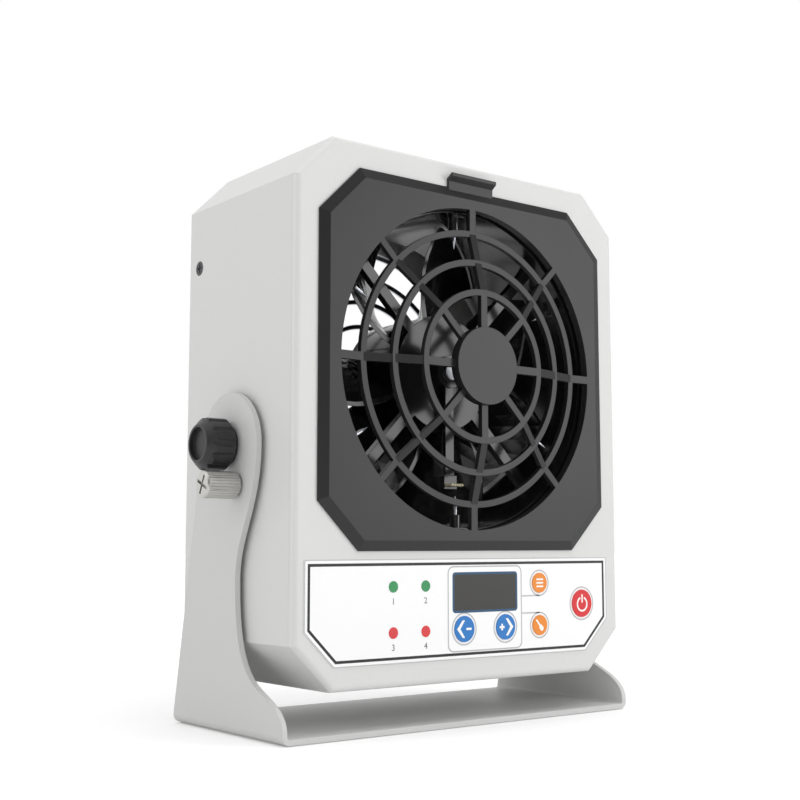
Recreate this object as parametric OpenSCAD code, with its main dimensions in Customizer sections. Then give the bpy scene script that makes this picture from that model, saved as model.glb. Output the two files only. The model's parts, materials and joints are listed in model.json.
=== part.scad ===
// Bench-top ionizing air blower: a tilting fan head in a bent steel stand.
// Frame: origin at the centre of the stand's underside, +Z up, the air blows
// towards -Y, +X to the right of someone who faces the grille. Millimetres.

/* [Case] */
// Width of the case across its flat sides
case_w = 150; // [146:1:180]
// Depth of the case from its front face to its rear edge
case_d = 72; // [70:1:100]
// Height of the case
case_h = 186; // [184:1:210]
// Height of the case's underside above the bench
case_lift = 15.2; // [12:0.1:24]
// Leg of the 45 degree cut along the four long corners
corner_cut = 15.4; // [10:0.1:17]
// Thickness of the folded case sheet
case_wall = 1.6; // [1:0.1:2]
// Thickness of the front plate
front_t = 2.4; // [2.1:0.1:3]
// Radius of the rounded edge of the front plate
edge_round = 2; // [0.5:0.1:2.1]
// Distance of the side screws from the rear edge
side_screw_in = 6.8; // [6:0.1:9]
// Height of the upper side screws above the case's underside
side_screw_up = 149; // [120:1:160]
// Radius of a side screw's head
side_screw_r = 2.7; // [2.2:0.1:3.2]

/* [Stand] */
// Width of the stand over its two arms
stand_w = 157.3; // [157.3:0.1:190]
// Depth of the stand's base, front to back
stand_d = 72; // [64:1:90]
// Thickness of the stand's sheet
stand_t = 2; // [1.5:0.1:2.4]
// Outer radius of the bend between base and arm
bend_r = 3; // [2.5:0.1:5]
// Radius of the round head at the top of each arm
arm_head_r = 18.6; // [15:0.1:22]
// Height of the tilt axis above the bench
pivot_z = 97; // [94:0.5:110]
// Distance of the arm's narrow waist in front of the tilt axis
waist_y = 5.9; // [3:0.1:10]
// Height of the waist
waist_z = 52; // [46:1:58]

/* [Tilt clamp] */
// Radius of the knob over its ribs
knob_r = 9; // [8:0.1:12]
// Length of the knob from the arm outwards
knob_len = 12; // [10:0.1:16]
// Number of grip flutes round the knob
knob_flutes = 12; // [8:1:16]
// Radius of the clamp stud
stud_r = 3; // [2.5:0.1:4]
// Radius of the friction washer
washer_r = 9; // [8:0.1:12]
// Radius of the locking thumbscrew's head
thumb_r = 4.6; // [4:0.1:6]
// Length of the thumbscrew's head
thumb_len = 12.2; // [9:0.1:16]
// Distance of the thumbscrew below the tilt axis
thumb_drop = 14; // [13.8:0.1:17]
// Distance of the thumbscrew in front of the tilt axis
thumb_ahead = 6; // [4:0.1:8]
// Radius of the thumbscrew's shank
thumb_shank_r = 2; // [1.5:0.1:2.5]

/* [Grille] */
// Width of the grille plate
grille_w = 132.4; // [130:0.1:140]
// Height of the grille plate
grille_h = 130.6; // [130:0.1:136]
// Leg of the cut at the plate's corners
grille_cut = 16.5; // [10:0.1:18]
// Height of the plate's face above the case front
grille_proud = 2; // [1.5:0.1:3]
// Width of the bevel round the plate
grille_bevel = 3.5; // [2:0.1:4]
// Height of the grille's centre above the case's underside
grille_up = 111; // [110:0.1:116]
// Radius of the air opening
opening_r = 58.1; // [57:0.1:58.6]
// Height of the dome from the plate's face to its inner ring
dome_h = 6; // [3:0.1:9]
// Radius of the outer ring, where the dome starts
outer_ring_r = 49; // [46:0.1:51]
// Radius of the inner ring, where the dome turns flat
inner_ring_r = 26.6; // [24:0.1:30]
// Width of a ring
ring_w = 2.3; // [1.6:0.1:3]
// Width of an upright or level spoke
spoke_w = 2.9; // [2:0.1:4]
// Width of a slanting spoke
slant_spoke_w = 2.4; // [1.6:0.1:4]
// Thickness of the rings and spokes
rib_t = 1.9; // [1.5:0.1:2.3]
// Radius of the disc in the middle
disc_r = 13.9; // [10:0.1:18]
// Height of the disc above the inner ring
disc_proud = 1.9; // [1:0.1:3]
// Width of the finger tab on top of the plate
tab_w = 21; // [16:0.5:28]

/* [Fan and ionizer] */
// Width and height of the fan's square frame
fan_size = 120; // [119:0.5:124]
// Thickness of the fan
fan_t = 38; // [32:0.5:40]
// Radius of the fan's throat
throat_r = 57.7; // [56.5:0.1:58]
// Number of fan blades
blades = 7; // [5:1:9]
// Radius of the motor hub
hub_r = 21.5; // [20:0.1:24]
// Depth of the emitter ring between front plate and fan
emitter_t = 12.3; // [11:0.1:14]
// Number of emitter needles
needles = 6; // [4:1:8]
// Radius at which the needle points end
needle_tip_r = 45.5; // [44:0.1:48]

/* [Control panel] */
// Width of the panel overlay
panel_w = 139.4; // [135:0.1:142]
// Height of the panel overlay
panel_h = 35; // [34:0.1:37]
// Thickness of the panel overlay
panel_t = 0.3; // [0.2:0.05:0.5]
// Height by which a key stands above the overlay
key_proud = 0.35; // [0.31:0.01:0.8]
// Travel of a key
key_travel = 0.3; // [0.2:0.01:0.3]
// Radius of the two arrow keys
arrow_key_r = 4.5; // [3.5:0.1:5]
// Radius of the menu key and the brush key
small_key_r = 3.6; // [3:0.1:4.2]
// Radius of the power key
power_key_r = 5.1; // [4:0.1:6]
// Width of the display window
window_w = 30; // [24:0.1:34]
// Height of the display window
window_h = 13.4; // [10:0.1:15]
// Radius of a lamp
lamp_r = 1.95; // [1.4:0.05:2.4]

/* [Hidden] */
$fn = 64;

// Gap that keeps a moving piece clear of its neighbour
clear = 0.3;
// Gap of a shaft in its bore and of a face that slides
running = 0.05;
// Gap between pieces that are screwed together but don't bear
seat_gap = 0.1;

x_side = case_w / 2;
y_front = -case_d / 2;
y_rear = case_d / 2;
y_inner = y_front + front_t;
z_case = case_lift;
z_mid = case_lift + case_h / 2;
z_fan = case_lift + grille_up;
x_arm = stand_w / 2;
x_arm_in = x_arm - stand_t;

// Fan stations along Y
y_emit = y_inner + clear;
y_fan = y_emit + emitter_t;
y_fan_rear = y_fan + fan_t;
strut_t = 3;
fan_hole_in = 7.5;
fan_hole = fan_size / 2 - fan_hole_in;
fan_screw_r = 2;
bearing_r = 3.5;
tube_r = 5;
shaft_r = 1.5;
y_needle = y_emit + emitter_t / 2;
needle_r = 0.75;
brush_r = needle_tip_r - clear - 0.1;
brush_pin_r = 2;

// Control panel stations
panel_x = -1.3;
panel_z = z_case + 25.5;
panel_cut = 11.7;
y_panel = y_front - panel_t;
lamp_x = [-35, -21];
lamp_up = 8.2;
lamp_down = -7.2;
arrow_x = [-3.7, 15.8];
small_x = 32.8;
power_x = 54.8;
key_low = -7.1;
menu_up = 8.3;
window_x = 6.4;
window_up = 5.6;
board_t = 1.6;
y_board = y_inner + 6.6;
switch_h = 3;
plunger_h = 0.9;
key_flange = 0.9;
y_plunger = y_board - switch_h - plunger_h;

// Grille stations
y_face = y_front - grille_proud;
y_dome = y_face - dome_h;
y_disc = y_dome - disc_proud;
z_hinge = z_fan - grille_h / 2;
middle_ring_r = (outer_ring_r + inner_ring_r) / 2;
hook_x = 42;
hook_w = 10;
lip_t = 1.8;
lip_d = 1;
rim_wall = 0.7;

// Rear cover and its fittings
cover_t = 1.6;
y_cover = y_rear - 0.6 - cover_t;
cover_flange = 11;
guard_wire = 1.1;
jack_x = -45;
jack_z = z_case + 22;
jack_r = 5.5;
earth_x = -22;
case_in_w = case_w - 2 * case_wall;
case_in_h = case_h - 2 * case_wall;
case_in_cut = corner_cut - case_wall * (2 - sqrt(2));

// ---------------------------------------------------------------- helpers
// A flat shape drawn in X and Z, as a slab from y0 to y1
module slab(y0, y1) {
    translate([0, y1, 0]) rotate([90, 0, 0]) linear_extrude(y1 - y0) children();
}
// A flat shape drawn in Y and Z, as a slab from x0 to x1
module side_slab(x0, x1) {
    translate([x0, 0, 0]) rotate([90, 0, 90]) linear_extrude(x1 - x0) children();
}
module rod_y(r, y0, y1, x = 0, z = 0) {
    translate([x, y1, z]) rotate([90, 0, 0]) cylinder(r = r, h = y1 - y0);
}
module rod_x(r, x0, x1, y = 0, z = 0) {
    translate([x0, y, z]) rotate([0, 90, 0]) cylinder(r = r, h = x1 - x0);
}
module rod_z(r, z0, z1, x = 0, y = 0) {
    translate([x, y, z0]) cylinder(r = r, h = z1 - z0);
}
// A section drawn as radius and Y, turned round the fan's axis
module turn_y(x = 0, z = z_fan) {
    translate([x, 0, z]) rotate([-90, 0, 0]) rotate_extrude() children();
}
// A section drawn as radius and X, turned round the tilt axis
module turn_x(y = 0, z = pivot_z) {
    translate([0, y, z]) rotate([0, 90, 0]) rotate_extrude() children();
}
module ring_section(r0, r1, h0, h1) {
    translate([r0, h0]) square([r1 - r0, h1 - h0]);
}
module octagon(w, h, cut) {
    polygon([[-w / 2, -h / 2 + cut], [-w / 2 + cut, -h / 2], [w / 2 - cut, -h / 2], [w / 2, -h / 2 + cut],
        [w / 2, h / 2 - cut], [w / 2 - cut, h / 2], [-w / 2 + cut, h / 2], [-w / 2, h / 2 - cut]]);
}
// Half a cross-section of a plate's edge, mirrored: full width at y = 0, trimmed by edge() towards -Y
module edged_bar(width, long, edge) {
    linear_extrude(long, center = true)
        polygon(concat([[width / 2, 0]], [for (p = edge) [width / 2 - p[0], -p[1]]],
            [for (i = [len(edge) - 1:-1:0]) [edge[i][0] - width / 2, -edge[i][1]]], [[-width / 2, 0]]));
}
// An octagonal plate with its back on y = 0, whose edge follows the points of edge: [inset, height]
module edged_octagon(w, h, cut, edge) {
    diagonal = (w + h - 2 * cut) / sqrt(2);
    long = 2 * (w + h);
    intersection() {
        edged_bar(w, long, edge);
        rotate([0, 90, 0]) edged_bar(h, long, edge);
        rotate([0, 45, 0]) edged_bar(diagonal, long, edge);
        rotate([0, -45, 0]) edged_bar(diagonal, long, edge);
    }
}
function bezier(a, b, c, d, t) = pow(1 - t, 3) * a + 3 * t * pow(1 - t, 2) * b + 3 * t * t * (1 - t) * c
    + t * t * t * d;

// ------------------------------------------------------------------ stand
arm_steps = 12;
toe_z = 3.2;
heel = [-waist_y - 15, 16.2];
function arm_outline() = concat(
    [[stand_d / 2, bend_r], [arm_head_r, pivot_z - 1]],
    [for (i = [1:arm_steps * 2 - 1]) let (a = 180 * i / (arm_steps * 2))
        [arm_head_r * cos(a), pivot_z - 0.5 + arm_head_r * sin(a)]],
    [for (i = [0:arm_steps]) bezier([-arm_head_r, pivot_z - 1], [-arm_head_r, pivot_z - 21],
        [-waist_y, waist_z + 14], [-waist_y, waist_z], i / arm_steps)],
    [for (i = [1:arm_steps]) bezier([-waist_y, waist_z], [-waist_y, waist_z - 19],
        heel + [11, 4.8], heel, i / arm_steps)],
    [for (i = [1:arm_steps]) bezier(heel, heel + [-8, -3.6], [-stand_d / 2, 10],
        [-stand_d / 2, toe_z], i / arm_steps)],
    [[-stand_d / 2, bend_r]]);

module stand_arm() {
    side_slab(x_arm_in, x_arm) polygon(arm_outline());
    intersection() {
        translate([x_arm - bend_r, stand_d / 2, bend_r]) rotate([90, 0, 0]) difference() {
            cylinder(r = bend_r, h = stand_d);
            translate([0, 0, -1]) cylinder(r = bend_r - stand_t, h = stand_d + 2);
        }
        translate([x_arm - bend_r, -stand_d / 2, 0]) cube([bend_r, stand_d, bend_r]);
    }
}

module stand_bracket() {
    color("#d6d6d4") difference() {
        union() {
            stand_arm();
            mirror([1, 0, 0]) stand_arm();
            translate([bend_r - x_arm, -stand_d / 2, 0]) cube([stand_w - 2 * bend_r, stand_d, stand_t]);
        }
        rod_x(stud_r + running, -x_arm - 1, x_arm + 1, 0, pivot_z);
        rod_x(thumb_shank_r + 1.5, -x_arm - 1, 1 - x_arm_in, -thumb_ahead, pivot_z - thumb_drop);
    }
}

// Clinched nut that carries the thumbscrew in the left arm
module lock_bush() {
    color("silver") difference() {
        rod_x(thumb_shank_r + 1.5, -x_arm, -x_arm_in + clear, -thumb_ahead, pivot_z - thumb_drop);
        rod_x(thumb_shank_r + running, -x_arm - 1, 1 - x_arm_in, -thumb_ahead, pivot_z - thumb_drop);
    }
}

module thumb_screw() {
    neck = 1;
    x_head = -x_arm - seat_gap - neck;
    teeth = 28;
    chamfer = 0.7;
    color("#c9c9c6") translate([0, -thumb_ahead, pivot_z - thumb_drop]) difference() {
        union() {
            intersection() {
                side_slab(x_head - thumb_len, x_head)
                    polygon([for (i = [0:2 * teeth - 1]) let (a = 180 * i / teeth, r = thumb_r - 0.25 * (i % 2))
                        [r * cos(a), r * sin(a)]]);
                turn_x(0, 0) polygon([[0, x_head - thumb_len], [thumb_r - chamfer, x_head - thumb_len],
                    [thumb_r + chamfer, x_head - thumb_len + 2 * chamfer], [thumb_r + chamfer, x_head], [0, x_head]]);
            }
            rod_x(thumb_r - 1, x_head, x_head + neck);
            rod_x(thumb_shank_r, x_head, -x_side - clear);
        }
        for (turn = [25, 115]) rotate([turn, 0, 0])
            translate([x_head - thumb_len - 1, -0.5, 1.2 - thumb_r]) cube([2.2, 1, 2 * thumb_r - 2.4]);
    }
}

// Fluted clamp knob of the right side, bored for its stud
module knob_body() {
    x0 = x_arm + seat_gap;
    collar_r = 0.75 * knob_r;
    collar = 1.6;
    bevel = 2.6;
    x_end = x_arm + knob_len;
    flute_r = 0.16 * knob_r;
    difference() {
        union() {
            rod_x(collar_r, x0, x0 + collar + 1, 0, pivot_z);
            intersection() {
                turn_x() polygon([[0, x0 + collar], [knob_r - 0.9, x0 + collar], [knob_r, x0 + collar + 0.9],
                    [knob_r, x_end - bevel], [knob_r - bevel, x_end], [0, x_end]]);
                translate([0, 0, pivot_z]) side_slab(x0, x_end) difference() {
                    circle(r = knob_r);
                    for (i = [0:knob_flutes - 1]) rotate(360 * i / knob_flutes)
                        translate([knob_r + 0.45 * flute_r, 0]) circle(r = flute_r, $fn = 24);
                }
            }
        }
        rod_x(knob_r - bevel - 0.8, x_end - 1.6, x_end + 1, 0, pivot_z);
        rod_x(stud_r, x0 - 1, x0 + collar + 5, 0, pivot_z);
    }
}
module knob_stud() {
    rod_x(stud_r, x_side - case_wall - 7, x_arm + seat_gap + 6.6, 0, pivot_z);
}
module right_knob() {
    color("#26272a") knob_body();
}
module left_knob() {
    color("#26272a") mirror([1, 0, 0]) knob_body();
}
module right_stud() {
    color("silver") knob_stud();
}
module left_stud() {
    color("silver") mirror([1, 0, 0]) knob_stud();
}
module pivot_washers() {
    color("#303234") for (m = [0, 1]) mirror([m, 0, 0]) difference() {
        rod_x(washer_r, x_side, x_arm_in - seat_gap, 0, pivot_z);
        rod_x(stud_r + running, x_side - 1, x_arm, 0, pivot_z);
    }
}
// Rivet nut in the case's side, which takes the stud
module pivot_nut() {
    difference() {
        union() {
            rod_x(stud_r + 1.8, x_side - case_wall - 6, x_side, 0, pivot_z);
            rod_x(stud_r + 3.4, x_side - case_wall - 1.2, x_side - case_wall, 0, pivot_z);
        }
        rod_x(stud_r + running, x_side - case_wall - 8, x_side + 1, 0, pivot_z);
    }
}
module right_pivot_nut() {
    color("silver") pivot_nut();
}
module left_pivot_nut() {
    color("silver") mirror([1, 0, 0]) pivot_nut();
}

// ------------------------------------------------------------------- case
side_screw_z = [z_case + side_screw_up, z_case + case_h - side_screw_up];

module at_side_screws() {
    for (m = [0, 1], z = side_screw_z) mirror([m, 0, 0]) translate([0, y_rear - side_screw_in, z]) children();
}

module case_shell() {
    color("#d9d9d7") difference() {
        translate([0, 0, z_mid]) slab(y_inner, y_rear) difference() {
            octagon(case_w, case_h, corner_cut);
            octagon(case_in_w, case_in_h, case_in_cut);
        }
        for (m = [0, 1]) mirror([m, 0, 0]) rod_x(stud_r + 1.8, x_side - 3, x_side + 1, 0, pivot_z);
        at_side_screws() rod_x(side_screw_r - 1, x_side - 3, x_side + 1);
        at_side_screws() rod_x(side_screw_r, x_side - 0.6, x_side + 1);
        at_supply_screws() rod_z(1.6, z_case - 1, z_floor + 1);
    }
}

// Front plate with a rounded edge, a spigot that enters the shell, and openings for grille and panel
module front_bezel() {
    spigot = 1.2;
    spigot_gap = 0.2;
    spigot_w = case_in_w - 2 * spigot_gap;
    spigot_h = case_in_h - 2 * spigot_gap;
    round_edge = [for (i = [0:6]) let (a = 90 * i / 6)
        [edge_round * (1 - cos(a)), front_t - edge_round * (1 - sin(a))]];
    color("#f2f2f0") difference() {
        union() {
            translate([0, y_inner, z_mid]) edged_octagon(case_w, case_h, corner_cut, round_edge);
            translate([0, 0, z_mid]) slab(y_inner - 0.2, y_inner + 5) difference() {
                octagon(spigot_w, spigot_h, case_in_cut);
                octagon(spigot_w - 2 * spigot, spigot_h - 2 * spigot, case_in_cut - 0.7);
            }
        }
        rod_y(opening_r + lip_t + 0.7, y_front - 1, y_inner + 1, 0, z_fan);
        for (x = [-hook_x, hook_x]) translate([x - hook_w / 2 - clear, y_front - 1, z_hinge + 0.3])
            cube([hook_w + 2 * clear, front_t + 2, 4.8]);
        translate([-latch_w / 2 - clear, y_front - 1, z_latch - clear])
            cube([latch_w + 2 * clear, front_t + 2, latch_h + 2 * clear]);
        at_keys() rod_y($key_r + running, y_front - 1, y_inner + 1);
        at_lamps(lamp_up) rod_y(lamp_r, y_front - 1, y_inner + 1);
        at_lamps(lamp_down) rod_y(lamp_r, y_front - 1, y_inner + 1);
        translate([window_x - window_w / 2, y_front - 1, panel_z + window_up - window_h / 2])
            cube([window_w, front_t + 2, window_h]);
    }
}

// Rear cover: a tray inside the shell with the round air intake
intake_r = 57;
module rear_cover() {
    gap = 0.2;
    w = case_in_w - 2 * gap;
    h = case_in_h - 2 * gap;
    color("#cfcfcd") difference() {
        translate([0, 0, z_mid]) union() {
            slab(y_cover, y_cover + cover_t) octagon(w, h, case_in_cut);
            slab(y_cover - cover_flange, y_cover + 0.1) difference() {
                octagon(w, h, case_in_cut);
                octagon(w - 2 * cover_t, h - 2 * cover_t, case_in_cut - 0.9);
            }
        }
        rod_y(intake_r, y_cover - 1, y_rear + 1, 0, z_fan);
        at_side_screws() rod_x(side_screw_r - 1, x_side - 6, x_side + 1);
        rod_y(jack_r, y_cover - 1, y_rear + 1, jack_x, jack_z);
        rod_y(2, y_cover - 1, y_rear + 1, earth_x, jack_z);
        for (x = [-1, 1], z = [-1, 1])
            rod_y(1.6, y_cover - 1, y_rear + 1, x * guard_ear, z_fan + z * guard_ear);
    }
}

// Wire finger guard on the inside of the rear cover
guard_ear = 44.6;
guard_rings = [14, 24, 34, 44, 54];
module rear_guard() {
    y_wire = y_cover - guard_wire - 0.6;
    color("#b9bbbd") union() {
        for (r = guard_rings) turn_y() translate([r, y_wire - guard_wire * 1.6]) circle(r = guard_wire, $fn = 16);
        for (a = [45:90:315]) translate([0, y_wire, z_fan]) rotate([0, a, 0])
            translate([guard_rings[0] - 1, 0, 0]) rotate([0, 90, 0])
                cylinder(r = guard_wire, h = guard_ear * sqrt(2) - guard_rings[0] - 1.2, $fn = 16);
        for (x = [-1, 1], z = [-1, 1]) difference() {
            rod_y(3.4, y_wire - guard_wire, y_cover, x * guard_ear, z_fan + z * guard_ear);
            rod_y(1.6, y_wire - 3, y_cover + 1, x * guard_ear, z_fan + z * guard_ear);
        }
    }
}

module side_screws() {
    color("#4a4c4e") at_side_screws() difference() {
        union() {
            rod_x(side_screw_r - 0.05, x_side - 0.6, x_side - 0.1);
            rod_x(side_screw_r - 1.05, x_side - case_wall - 4, x_side - 0.6);
        }
        translate([x_side - 0.45, -0.35, -1.6]) cube([1, 0.7, 3.2]);
        translate([x_side - 0.45, -1.6, -0.35]) cube([1, 3.2, 0.7]);
    }
}

// Screws that hold the wire guard to the rear cover
module guard_screws() {
    color("#4a4c4e") for (x = [-1, 1], z = [-1, 1]) translate([x * guard_ear, 0, z_fan + z * guard_ear]) {
        rod_y(1.55, y_cover - 3.6, y_cover + cover_t);
        turn_y(0, 0) polygon([[0, y_cover + cover_t], [2.8, y_cover + cover_t], [2.8, y_cover + cover_t + 0.5],
            [1.6, y_cover + cover_t + 1.1], [0, y_cover + cover_t + 1.1]]);
    }
}

// ----------------------------------------------------------- control panel
module at_lamps(up) {
    for (x = lamp_x) translate([x, 0, panel_z + up]) children();
}
// Every key's place, with its radius in $key_r
module at_keys() {
    for (k = [[arrow_x[0], key_low, arrow_key_r], [arrow_x[1], key_low, arrow_key_r],
            [small_x, menu_up, small_key_r], [small_x, key_low, small_key_r],
            [power_x, (menu_up + key_low) / 2 - 0.4, power_key_r]])
        translate([k[0], 0, panel_z + k[1]]) let ($key_r = k[2]) children();
}

module panel_overlay() {
    h = panel_h;
    w = panel_w;
    color("white") difference() {
        translate([panel_x, 0, panel_z]) slab(y_panel, y_front)
            polygon([[-w / 2, h / 2], [-w / 2, panel_cut - h / 2], [panel_cut - w / 2, -h / 2],
                [w / 2 - panel_cut, -h / 2], [w / 2, panel_cut - h / 2], [w / 2, h / 2]]);
        at_keys() rod_y($key_r + running, y_panel - 1, y_front + 1);
        at_lamps(lamp_up) rod_y(lamp_r, y_panel - 1, y_front + 1);
        at_lamps(lamp_down) rod_y(lamp_r, y_panel - 1, y_front + 1);
        translate([window_x - window_w / 2, y_panel - 1, panel_z + window_up - window_h / 2])
            cube([window_w, panel_t + 2, window_h]);
    }
}
module display_window() {
    color("#1c2430") translate([window_x - window_w / 2, y_panel, panel_z + window_up - window_h / 2])
        cube([window_w, 1.5, window_h]);
}
module display_module() {
    color("#202020") translate([window_x - window_w / 2 + 0.4, y_panel + 1.5, panel_z + window_up - window_h / 2])
        cube([window_w - 0.8, y_board - y_panel - 1.5, window_h]);
}
module lamp(up) {
    at_lamps(up) {
        rod_y(lamp_r, y_panel - 0.1, y_inner + 1);
        rod_y(lamp_r + 0.5, y_inner + 0.05, y_board);
    }
}
module green_lamps() {
    color("#1f9d4c") lamp(lamp_up);
}
module red_lamps() {
    color("#d8232a") lamp(lamp_down);
}
module key(x, up, r) {
    translate([x, 0, panel_z + up]) {
        rod_y(r, y_panel - key_proud, y_inner + seat_gap);
        rod_y(r + 0.9, y_inner + seat_gap, y_inner + seat_gap + key_flange);
        rod_y(1.4, y_inner + seat_gap + key_flange, y_plunger - key_travel - seat_gap);
    }
}
module minus_key() {
    color("#1f7fc4") key(arrow_x[0], key_low, arrow_key_r);
}
module plus_key() {
    color("#1f7fc4") key(arrow_x[1], key_low, arrow_key_r);
}
module menu_key() {
    color("#f39a2c") key(small_x, menu_up, small_key_r);
}
module brush_key() {
    color("#f39a2c") key(small_x, key_low, small_key_r);
}
module power_key() {
    color("#df2a33") key(power_x, (menu_up + key_low) / 2 - 0.4, power_key_r);
}
module key_switches() {
    color("#3a3a3a") at_keys() {
        rod_y(1.7, y_plunger, y_board - switch_h);
        translate([-3, y_board - switch_h, -3]) cube([6, switch_h, 6]);
    }
}
board_w = 118;
board_h = 32;
post_x = board_w / 2 - 7;
module at_posts() {
    for (x = [-post_x, post_x], up = [-12.5, 12.5]) translate([panel_x + 1 + x, 0, panel_z + up]) children();
}
module control_board() {
    color("#1d6b3c") difference() {
        translate([panel_x + 1 - board_w / 2, y_board, panel_z - board_h / 2]) cube([board_w, board_t, board_h]);
        at_posts() rod_y(1.6, y_board - 1, y_board + board_t + 1);
    }
}
module board_posts() {
    color("#c9b26a") at_posts() difference() {
        union() {
            rod_y(3, y_inner, y_board);
            rod_y(1.5, y_board, y_board + board_t);
            rod_y(2.8, y_board + board_t, y_board + board_t + 1.8);
        }
        translate([-0.4, y_board + board_t + 1, -2]) cube([0.8, 1, 4]);
    }
}

// ------------------------------------------------- supplies inside the case
hv_w = 78;
hv_d = 34;
hv_h = 28;
z_floor = z_case + case_wall;
y_hv = y_board + board_t + 4;
hv_x = 12;
module hv_supply() {
    color("#2b2c2e") union() {
        translate([hv_x - hv_w / 2, y_hv, z_floor]) cube([hv_w, hv_d, hv_h]);
        difference() {
            translate([hv_x - supply_ear - 3, y_hv + 10, z_floor]) cube([2 * supply_ear + 6, 12, 2]);
            at_supply_screws() rod_z(1.6, z_floor - 1, z_floor + 3);
        }
        translate([lead_x - terminal / 2, y_hv - terminal_d, lead_z - terminal]) cube([terminal, terminal_d, terminal]);
    }
}
supply_ear = hv_w / 2 + 3.2;
module at_supply_screws() {
    for (x = [-supply_ear, supply_ear]) translate([hv_x + x, y_hv + 16, 0]) children();
}
module supply_screws() {
    color("#4a4c4e") at_supply_screws() {
        rod_z(1.6, z_case + 0.2, z_floor + 2);
        rod_z(2.8, z_floor + 2, z_floor + 3.6);
    }
}
// High-voltage lead from the supply's terminal up to the emitter ring, in front of the fan
lead_r = 1.1;
lead_x = 38;
terminal = 7;
terminal_d = 3;
lead_z = z_floor + hv_h - 2;
module hv_lead() {
    ring_z = z_fan - sqrt(pow(emitter_out_r, 2) - pow(lead_x - lead_r, 2));
    color("#b3202a") rod_z(lead_r, lead_z, ring_z - seat_gap, lead_x, y_fan - clear - lead_r);
}

module power_jack() {
    y_out = y_cover + cover_t + 2.4;
    color("#1b1b1d") union() {
        difference() {
            union() {
                rod_y(jack_r, y_cover - 12, y_out, jack_x, jack_z);
                rod_y(jack_r + 2, y_cover + cover_t, y_out, jack_x, jack_z);
            }
            rod_y(3.1, y_out - 10, y_out + 1, jack_x, jack_z);
        }
        rod_y(1, y_out - 11, y_out - 1, jack_x, jack_z);
    }
}
module jack_nut() {
    color("silver") difference() {
        translate([jack_x, y_cover, jack_z]) rotate([90, 0, 0]) cylinder(r = jack_r + 3, h = 2.4, $fn = 6);
        rod_y(jack_r, y_cover - 4, y_cover + 1, jack_x, jack_z);
    }
}
module earth_stud() {
    y_out = y_cover + cover_t;
    color("#d0b060") union() {
        rod_y(2, y_cover - 6, y_out + 4.5, earth_x, jack_z);
        rod_y(4.4, y_out, y_out + 1.2, earth_x, jack_z);
        translate([earth_x, y_out + 4, jack_z]) rotate([90, 0, 0]) cylinder(r = 3.9, h = 2.8, $fn = 6);
        translate([earth_x, y_cover, jack_z]) rotate([90, 0, 0]) cylinder(r = 3.9, h = 2.6, $fn = 6);
    }
}

// -------------------------------------------------------------------- fan
module at_fan_holes() {
    for (x = [-fan_hole, fan_hole], z = [-fan_hole, fan_hole]) translate([x, 0, z_fan + z]) children();
}
module fan_flange(y0, y1, r) {
    translate([0, 0, z_fan]) slab(y0, y1) difference() {
        octagon(fan_size, fan_size, 5);
        circle(r = r);
        for (x = [-fan_hole, fan_hole], z = [-fan_hole, fan_hole]) translate([x, z]) circle(r = fan_screw_r + 0.2);
    }
}
// Two square flanges joined by a round duct and corner tubes, with the motor plate on four struts
module fan_frame() {
    flange_t = 5;
    duct_r = throat_r + 2;
    y_tube = y_fan + strut_t;
    color("#1a1b1d") union() {
        fan_flange(y_fan, y_fan + flange_t, throat_r);
        fan_flange(y_fan_rear - flange_t, y_fan_rear, throat_r);
        turn_y() ring_section(throat_r, duct_r, y_fan + flange_t - 0.5, y_fan_rear - flange_t + 0.5);
        at_fan_holes() difference() {
            rod_y(4.2, y_fan + flange_t - 0.5, y_fan_rear - flange_t + 0.5);
            rod_y(fan_screw_r + 0.2, y_fan, y_fan_rear);
        }
        difference() {
            translate([0, 0, z_fan]) slab(y_fan, y_tube) union() {
                circle(r = hub_r);
                for (a = [45, 135]) rotate(a) square([2 * throat_r + 2, 4], center = true);
            }
            rod_y(brush_pin_r, y_fan - 1, y_tube + 1, 0, z_fan);
        }
        difference() {
            rod_y(tube_r, y_tube - 0.5, y_tube + 22, 0, z_fan);
            rod_y(bearing_r, y_tube - 1, y_tube + 23, 0, z_fan);
        }
    }
}
module fan_stator() {
    y0 = y_fan + strut_t + 1.5;
    color("#9a5a2c") translate([0, 0, z_fan]) slab(y0, y0 + 14) difference() {
        union() {
            circle(r = 9);
            for (a = [0:60:300]) rotate(a) {
                translate([0, -1.6]) square([14, 3.2]);
                intersection() {
                    difference() {
                        circle(r = 17);
                        circle(r = 14);
                    }
                    polygon([[0, 0], [20, -8], [20, 8]]);
                }
            }
        }
        circle(r = tube_r);
    }
}
module fan_bearings() {
    color("silver") for (y = [y_fan + strut_t, y_fan + strut_t + 18]) difference() {
        rod_y(bearing_r, y, y + 4, 0, z_fan);
        rod_y(shaft_r + running, y - 1, y + 5, 0, z_fan);
    }
}
module fan_spacers() {
    color("#c8c8c8") at_fan_holes() difference() {
        rod_y(4, y_inner, y_fan);
        rod_y(fan_screw_r + 0.2, y_inner - 1, y_fan + 1);
    }
}
module fan_screws() {
    color("#808386") at_fan_holes() {
        rod_y(fan_screw_r, y_inner + 0.2, y_fan_rear);
        rod_y(3.8, y_fan_rear, y_fan_rear + 2.4);
    }
}

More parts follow.
